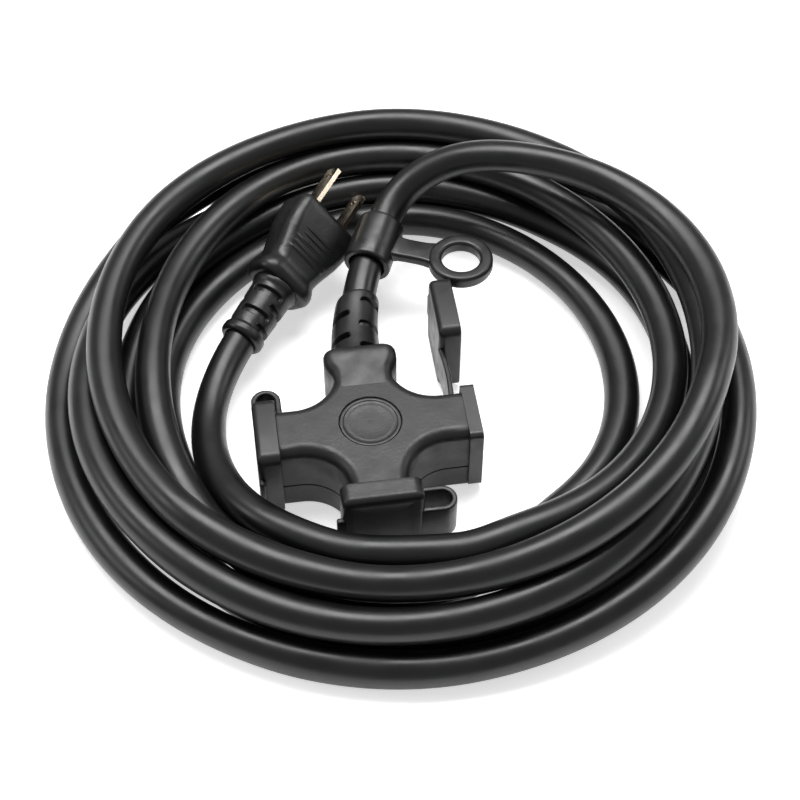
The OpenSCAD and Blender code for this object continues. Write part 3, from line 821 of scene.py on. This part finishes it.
# ---------------------------------------------------------------- plug
def plug_mesh():
    xs = [0.0, -0.15, -0.5, -1.0, -1.7, -2.6, -4, -5.5, -7, -8.5, -10]
    xs += list(np.arange(-10.6, -21.3, -0.3))
    xs += [-22, -23, -23.8, -24.6, -25.4, -26.2, -27, -27.8, -28.4, -29, -29.6, -30.1, -30.5, -30.8, -30.95, -31.0]
    rings = []
    for x in xs:
        w = np.interp(-x, [0, 3, 8, 13, 18, 21, 23, 24.5, 26, 27.5, 31], [12.3, 12.5, 12.4, 11.7, 10.4, 9.7, 9.5, 9.7, 10.4, 10.8, 10.8])
        t = np.interp(-x, [0, 10, 20, 23, 24.5, 26, 27.5, 31], [7.45, 7.5, 7.35, 7.25, 7.35, 7.75, 8.0, 8.0])
        c = np.interp(-x, [0, 8, 18, 24, 31], [3.2, 3.6, 4.6, 5.6, 5.8])
        e = 0
        if x > -2.6:
            q = 1 - (-x) / 2.6
            e = 1.9 * (1 - math.sqrt(max(0, 1 - q * q)))
        if x < -28.3:
            q = (-x - 28.3) / 2.7
            e = 2.4 * (1 - math.sqrt(max(0, 1 - min(1, q) ** 2)))
        pts = []
        for y, z in rrect(w - e, t - e, max(c - e, 0.4), 9):
            # grip ridges across the two flat faces
            if -21 < x < -10.6 and abs(y) < 7.2:
                ph = (-x - 10.6) / 2.08
                rid = 0.42 * max(0.0, math.sin(2 * math.pi * ph)) ** 1.2 * min(1, (7.2 - abs(y)) / 0.8)
                z = z + math.copysign(min(rid, 7.5 + 0.35 - abs(z)) if abs(z) > 5 else 0, z)
            pts.append(plug_at(x, y, z))
        rings.append(pts)
    return loft(rings)


def grip_face_mesh():
    """Two raised pads with ridges, one on each flat face."""
    parts = []
    for sgn in (1, -1):
        for i in range(5):
            x0 = -10.6 - 2.1 * i
            hw = 6.6 - 0.35 * i
            rings = []
            for k in range(9):
                a = math.radians(180 * k / 8)
                y = -hw + (2 * hw) * k / 8
                rings.append((y, 0.5 * math.sin(a) ** 0.35 if 0 < k < 8 else 0.02))
            rows = []
            for y, h in rings:
                sec = []
                for m in range(12):
                    t = 2 * math.pi * m / 12
                    sec.append(plug_at(x0 + 0.55 * math.cos(t), y, sgn * (7.36 + (0.06 + h) * max(-0.5, math.sin(t)))))
                rows.append(sec)
            parts.append(loft(rows))
    return merge(*parts)


v, f = plug_mesh()
plug = make("plug_moulding", v, f, M_PLUG, sharp=34)
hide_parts("plug_body")
v, f = grip_face_mesh()
grips = make("plug_grips", v, f, M_PLUG, sharp=40)

# raised seat round each blade
seat_parts = []
for s in (1, -1):
    rows = []
    for x, e in ((-0.6, 0), (0.25, 0), (0.42, 0.12), (0.48, 0.3), (0.48, 0.62)):
        rows.append([plug_at(x, s * 6.35 + a, b) for a, b in rrect(1.75 - e, 4.3 - e, 0.7, 5)])
    seat_parts.append(loft(rows))
v, f = merge(*seat_parts)
seats = make("blade_seats", v, f, M_PLUG, sharp=34)

# ---------------------------------------------------------------- ring hanger
SC = np.array([10.9, 76.1, 19.0])
SA = rot(-82.5, 0, -24.5)[:, 2]
sleeve_prof = [(-8.5, 5.95), (-8.5, 6.5), (-8.5, 6.95), (-8.38, 7.25), (-8.15, 7.45), (-7.8, 7.55), (-7.3, 7.6), (-4, 7.6), (0, 7.6), (4, 7.6),
               (7.3, 7.6), (7.8, 7.55), (8.15, 7.45), (8.38, 7.25), (8.5, 6.95), (8.5, 6.5), (8.5, 5.95), (8.2, 5.72), (7.5, 5.65),
               (0, 5.65), (-7.5, 5.65), (-8.2, 5.72)]
v, f = revolve(sleeve_prof, SC, SA, 96)
sleeve = make("ring_sleeve", v, f, M_HANGER, body="hanger", sharp=40)
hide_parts("hanger_sleeve")

RC = np.array([37, 64.2, 20.0])
ring_prof = []
for hw_, c0, c1 in ((0, 6.1, 10.2),):
    sec = rrect((10.2 - 6.1) / 2, 2.2, 1.15, 6)
    ring_prof = [(b, 8.15 + a) for a, b in sec]
v, f = revolve(ring_prof, RC, (0, 0, 1), 96)
ring = make("hanging_ring", v, f, M_HANGER, body="hanger", sharp=45)
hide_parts("hanger_ring")

sd = np.array([math.cos(math.radians(155.5)), math.sin(math.radians(155.5)), 0])
sn = np.array([-sd[1], sd[0], 0])
rows = []
for s, wd, th in ((8.0, 9.6, 3.5), (9.2, 9.2, 3.5), (10.2, 8.8, 3.5), (11.2, 8.4, 3.45), (12.4, 8.2, 3.4), (14, 8.1, 3.4),
                  (16.5, 8.1, 3.4), (18.5, 8.2, 3.4), (19.8, 8.4, 3.5), (20.8, 8.8, 3.8), (21.7, 9.4, 4.3), (22.6, 10.2, 5.0)):
    rows.append([tuple(RC + sd * s + sn * a + np.array([0, 0, b - 0.35 * (s - 8) / 14])) for a, b in
                 rrect(wd / 2, th / 2, 1.0, 5)])
v, f = loft(rows)
strap = make("ring_strap", v, f, M_HANGER, body="hanger", sharp=45)
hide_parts("hanger_strap")

# ---------------------------------------------------------------- floor and light
def plain(name, colour, rough):
    m = bpy.data.materials.new(name)
    m.use_nodes = True
    b = m.node_tree.nodes["Principled BSDF"]
    b.inputs["Base Color"].default_value = (*colour, 1)
    b.inputs["Roughness"].default_value = rough
    b.inputs["Specular IOR Level"].default_value = 0.2
    return m


me = bpy.data.meshes.new("floor")
me.from_pydata([(-4, -4, -0.0002), (4, -4, -0.0002), (4, 4, -0.0002), (-4, 4, -0.0002)], [], [(0, 1, 2, 3)])
floor = bpy.data.objects.new("floor", me)
scene.collection.objects.link(floor)
me.materials.append(plain("floor_white", (0.93, 0.93, 0.93), 0.9))
fb = me.materials[0].node_tree.nodes["Principled BSDF"]
fb.inputs["Emission Color"].default_value = (1, 1, 1, 1)
fb.inputs["Emission Strength"].default_value = 0.55

world = bpy.data.worlds.new("world")
scene.world = world
world.use_nodes = True
bg = world.node_tree.nodes["Background"]
bg.inputs["Color"].default_value = (1, 1, 1, 1)
bg.inputs["Strength"].default_value = 0.36


def area(name, loc, target, size, power):
    d = bpy.data.lights.new(name, "AREA")
    d.shape = "RECTANGLE"
    d.size, d.size_y = size
    d.energy = power
    o = bpy.data.objects.new(name, d)
    scene.collection.objects.link(o)
    o.location = loc
    o.rotation_mode = "QUATERNION"
    o.rotation_quaternion = (Vector(target) - Vector(loc)).to_track_quat("-Z", "Y")
    return o


area("softbox", (0.0, 0.38, 1.0), (0.01, 0.03, 0), (1.0, 0.5), 14)
area("side_left", (-1.0, 0.15, 0.6), (0.01, 0.03, 0), (0.4, 0.4), 1.6)
area("side_right", (1.0, 0.2, 0.55), (0.01, 0.03, 0), (0.4, 0.4), 1.6)
scene.view_settings.view_transform = "Standard"
scene.view_settings.look = "None"
scene.view_settings.exposure = 0.0
